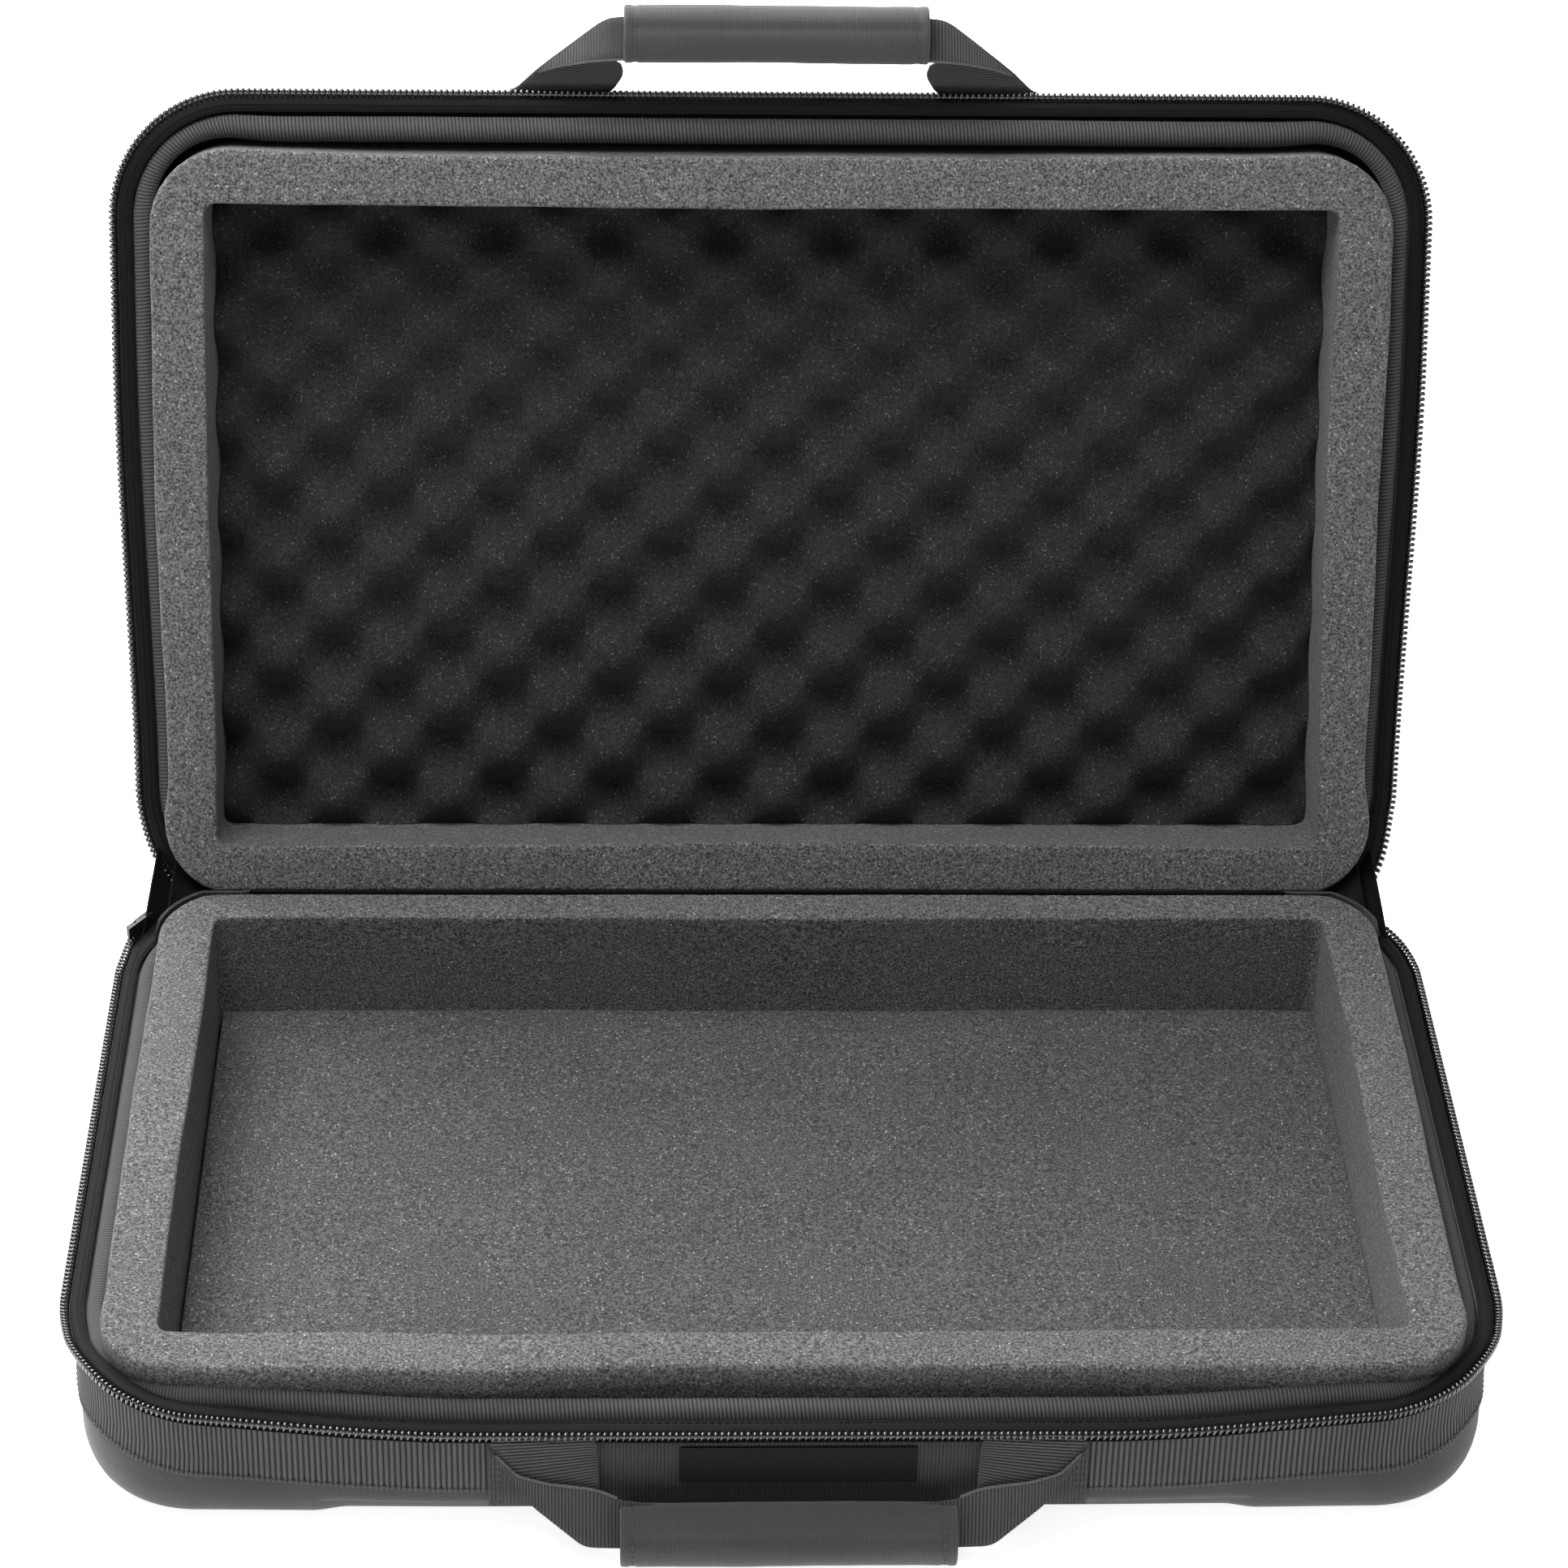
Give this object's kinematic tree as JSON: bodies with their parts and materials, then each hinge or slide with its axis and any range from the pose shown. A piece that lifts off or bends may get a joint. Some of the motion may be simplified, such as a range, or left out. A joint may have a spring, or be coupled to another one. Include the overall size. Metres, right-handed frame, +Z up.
{
  "type": "padded carry case",
  "caption": "Zipped moulded carry case lying open, with foam frames round a pocket in each half, a cloth hinge and webbing handles.",
  "frame": {"origin": "centre of the base's flat underside", "axes": "+Z up, -Y towards the handle side, +X to the right as seen from the front"},
  "size_m": [0.5746, 0.547, 0.4396],
  "materials": {
    "shell_fabric": "woven polyester oxford over moulded EVA",
    "grosgrain": "ribbed grosgrain band",
    "piping_fabric": "twill-covered stuffed piping",
    "zip_tape": "fine woven zip tape",
    "zip_coil": "glossy nylon coil teeth",
    "foam": "open-cell charcoal foam, speckled",
    "egg_crate_foam": "convoluted dark foam",
    "webbing": "heavy ribbed webbing",
    "grip_fabric": "coarse woven wrap with folded edges",
    "label": "plain woven patch with no mark",
    "hinge_fabric": "woven cloth hinge",
    "slider_metal": "black coated zinc, worn bright at edges"
  },
  "bodies": {
    "base": {"base_shell": "shell_fabric", "base_rim_band": "grosgrain", "base_piping": "piping_fabric", "base_zip_tape": "zip_tape", "base_zip_coil": "zip_coil", "base_zip_end_left": "zip_tape", "base_zip_end_right": "zip_tape", "base_foam_frame": "foam", "base_foam_floor": "foam", "label_patch": "label", "base_handle_backing": "webbing", "base_handle_anchor_left": "webbing", "base_handle_anchor_right": "webbing", "hinge_fabric_base": "hinge_fabric", "hinge_fabric_fold": "hinge_fabric"},
    "lid": {"lid_shell": "shell_fabric", "lid_rim_band": "grosgrain", "lid_piping": "piping_fabric", "lid_zip_tape": "zip_tape", "lid_zip_coil": "zip_coil", "lid_zip_end_left": "zip_tape", "lid_zip_end_right": "zip_tape", "lid_foam_frame": "foam", "lid_egg_crate_pad": "egg_crate_foam", "lid_handle_backing": "webbing", "lid_handle_anchor_left": "webbing", "lid_handle_anchor_right": "webbing", "hinge_fabric_lid": "hinge_fabric"},
    "base_handle": {"base_handle_strap": "webbing", "base_handle_grip": "grip_fabric"},
    "lid_handle": {"lid_handle_strap": "webbing", "lid_handle_grip": "grip_fabric"},
    "slider": {"zip_slider": "slider_metal"},
    "pull": {"zip_pull": "slider_metal"}
  },
  "joints": [
    {"name": "lid_hinge", "type": "hinge", "parent": "base", "child": "lid", "pos_m": [0, 0.1799, 0.054], "axis": [1, 0, 0], "range_deg": [-71, 109], "deforming": ["base_foam_frame", "lid_foam_frame"]},
    {"name": "base_handle_pivot", "type": "hinge", "parent": "base", "child": "base_handle", "pos_m": [0, -0.1843, 0.0415], "axis": [-1, 0, 0], "range_deg": [0, 116]},
    {"name": "lid_handle_pivot", "type": "hinge", "parent": "lid", "child": "lid_handle", "pos_m": [0, 0.30415, 0.3964], "axis": [-1, 0, 0], "range_deg": [-6, 116]},
    {"name": "slider_run", "type": "hinge", "parent": "base", "child": "slider", "pos_m": [-0.231, 0.1267, 0.054], "axis": [0, 0, 1], "range_deg": [0, 34]},
    {"name": "pull_swing", "type": "hinge", "parent": "slider", "child": "pull", "pos_m": [-0.28091, 0.16036, 0.054], "axis": [0, 0, 1], "range_deg": [0, 170]}
  ]
}
